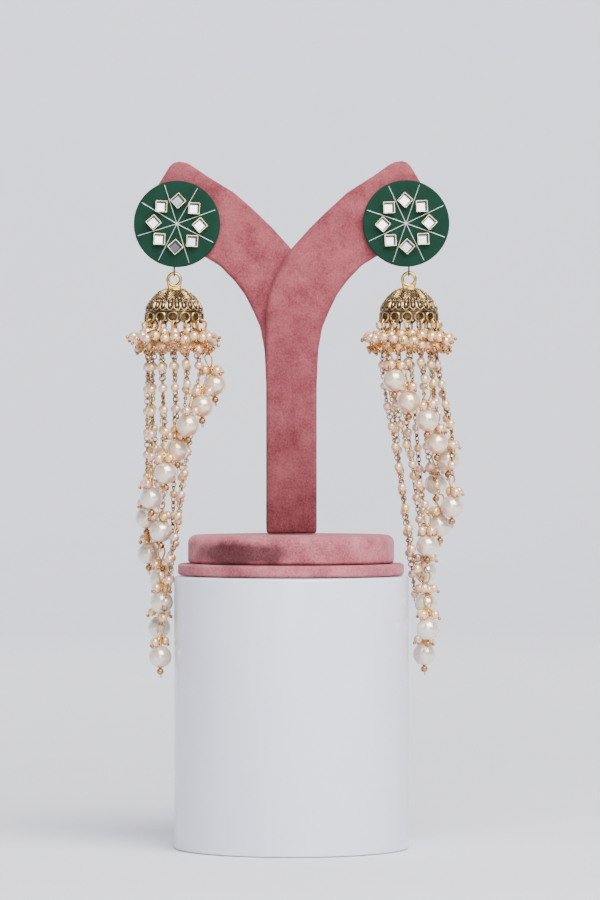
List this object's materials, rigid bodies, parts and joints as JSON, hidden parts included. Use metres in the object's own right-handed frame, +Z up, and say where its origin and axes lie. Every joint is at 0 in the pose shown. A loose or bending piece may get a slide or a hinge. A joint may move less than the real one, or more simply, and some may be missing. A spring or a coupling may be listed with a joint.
{
  "type": "pair of dangle earrings on a display stand",
  "caption": "Bell-shaped earrings with mirrored discs and long cascading pearl tassels, hung on a two-armed velvet display stand on a round plinth.",
  "frame": {"origin": "centre of the plinth's flat bottom, where the stand rests", "axes": "+Z up, +X to the viewer's right along the arms, -Y towards the viewer and the faces of the ear discs"},
  "size_m": [0.1174, 0.082, 0.2401],
  "materials": {
    "plinth_gloss": "smooth white satin gloss",
    "rose_velvet": "dusty rose velvet with a short pile",
    "green_felt": "dark green matte cloth",
    "post_steel": "plain",
    "setting_gold": "pale gold, with a mirror stone",
    "antique_gold": "antique gold with dark hollows",
    "seed_pearl": "small creamy pink pearls",
    "strand_gold": "fine rose gold chain with small pearls and one big white pearl",
    "big_pearl": "white pearl lustre",
    "mirror_stone": "flat mirror",
    "silver_thread": "metallic silver thread"
  },
  "bodies": {
    "root": {"plinth": "plinth_gloss", "stand_base_lower": "rose_velvet", "stand_base_upper": "rose_velvet", "stand_band_front": "rose_velvet", "stand_band_back": "rose_velvet", "ear_disc_left": "green_felt", "ear_post_left": "post_steel", "hanger_loop_left": "antique_gold", "setting_left_1": "setting_gold", "setting_left_2": "setting_gold", "setting_left_3": "setting_gold", "setting_left_4": "setting_gold", "setting_left_5": "setting_gold", "setting_left_6": "setting_gold", "setting_left_7": "setting_gold", "setting_left_8": "setting_gold", "ear_disc_right": "green_felt", "ear_post_right": "post_steel", "hanger_loop_right": "antique_gold", "setting_right_1": "setting_gold", "setting_right_2": "setting_gold", "setting_right_3": "setting_gold", "setting_right_4": "setting_gold", "setting_right_5": "setting_gold", "setting_right_6": "setting_gold", "setting_right_7": "setting_gold", "setting_right_8": "setting_gold"},
    "left_drop": {"bell_left": "antique_gold", "ruff_left": "seed_pearl", "strand_left_01": "strand_gold", "strand_left_02": "strand_gold", "strand_left_03": "strand_gold", "strand_left_04": "strand_gold", "strand_left_05": "strand_gold", "strand_left_06": "strand_gold", "strand_left_07": "strand_gold", "strand_left_08": "strand_gold", "strand_left_09": "strand_gold", "strand_left_10": "strand_gold", "strand_left_11": "strand_gold", "strand_left_12": "strand_gold", "strand_left_13": "strand_gold"},
    "right_drop": {"bell_right": "antique_gold", "ruff_right": "seed_pearl", "strand_right_01": "strand_gold", "strand_right_02": "strand_gold", "strand_right_03": "strand_gold", "strand_right_04": "strand_gold", "strand_right_05": "strand_gold", "strand_right_06": "strand_gold", "strand_right_07": "strand_gold", "strand_right_08": "strand_gold", "strand_right_09": "strand_gold", "strand_right_10": "strand_gold", "strand_right_11": "strand_gold", "strand_right_12": "strand_gold", "strand_right_13": "strand_gold"}
  },
  "joints": [
    {"name": "left_swing", "type": "hinge", "parent": "root", "child": "left_drop", "pos_m": [-0.041, 0.0005, 0.20074], "axis": [1, 0, 0], "range_deg": [-45, 45]},
    {"name": "right_swing", "type": "hinge", "parent": "root", "child": "right_drop", "pos_m": [0.041, -0.0028, 0.20074], "axis": [1, 0, 0], "range_deg": [-45, 45]}
  ]
}
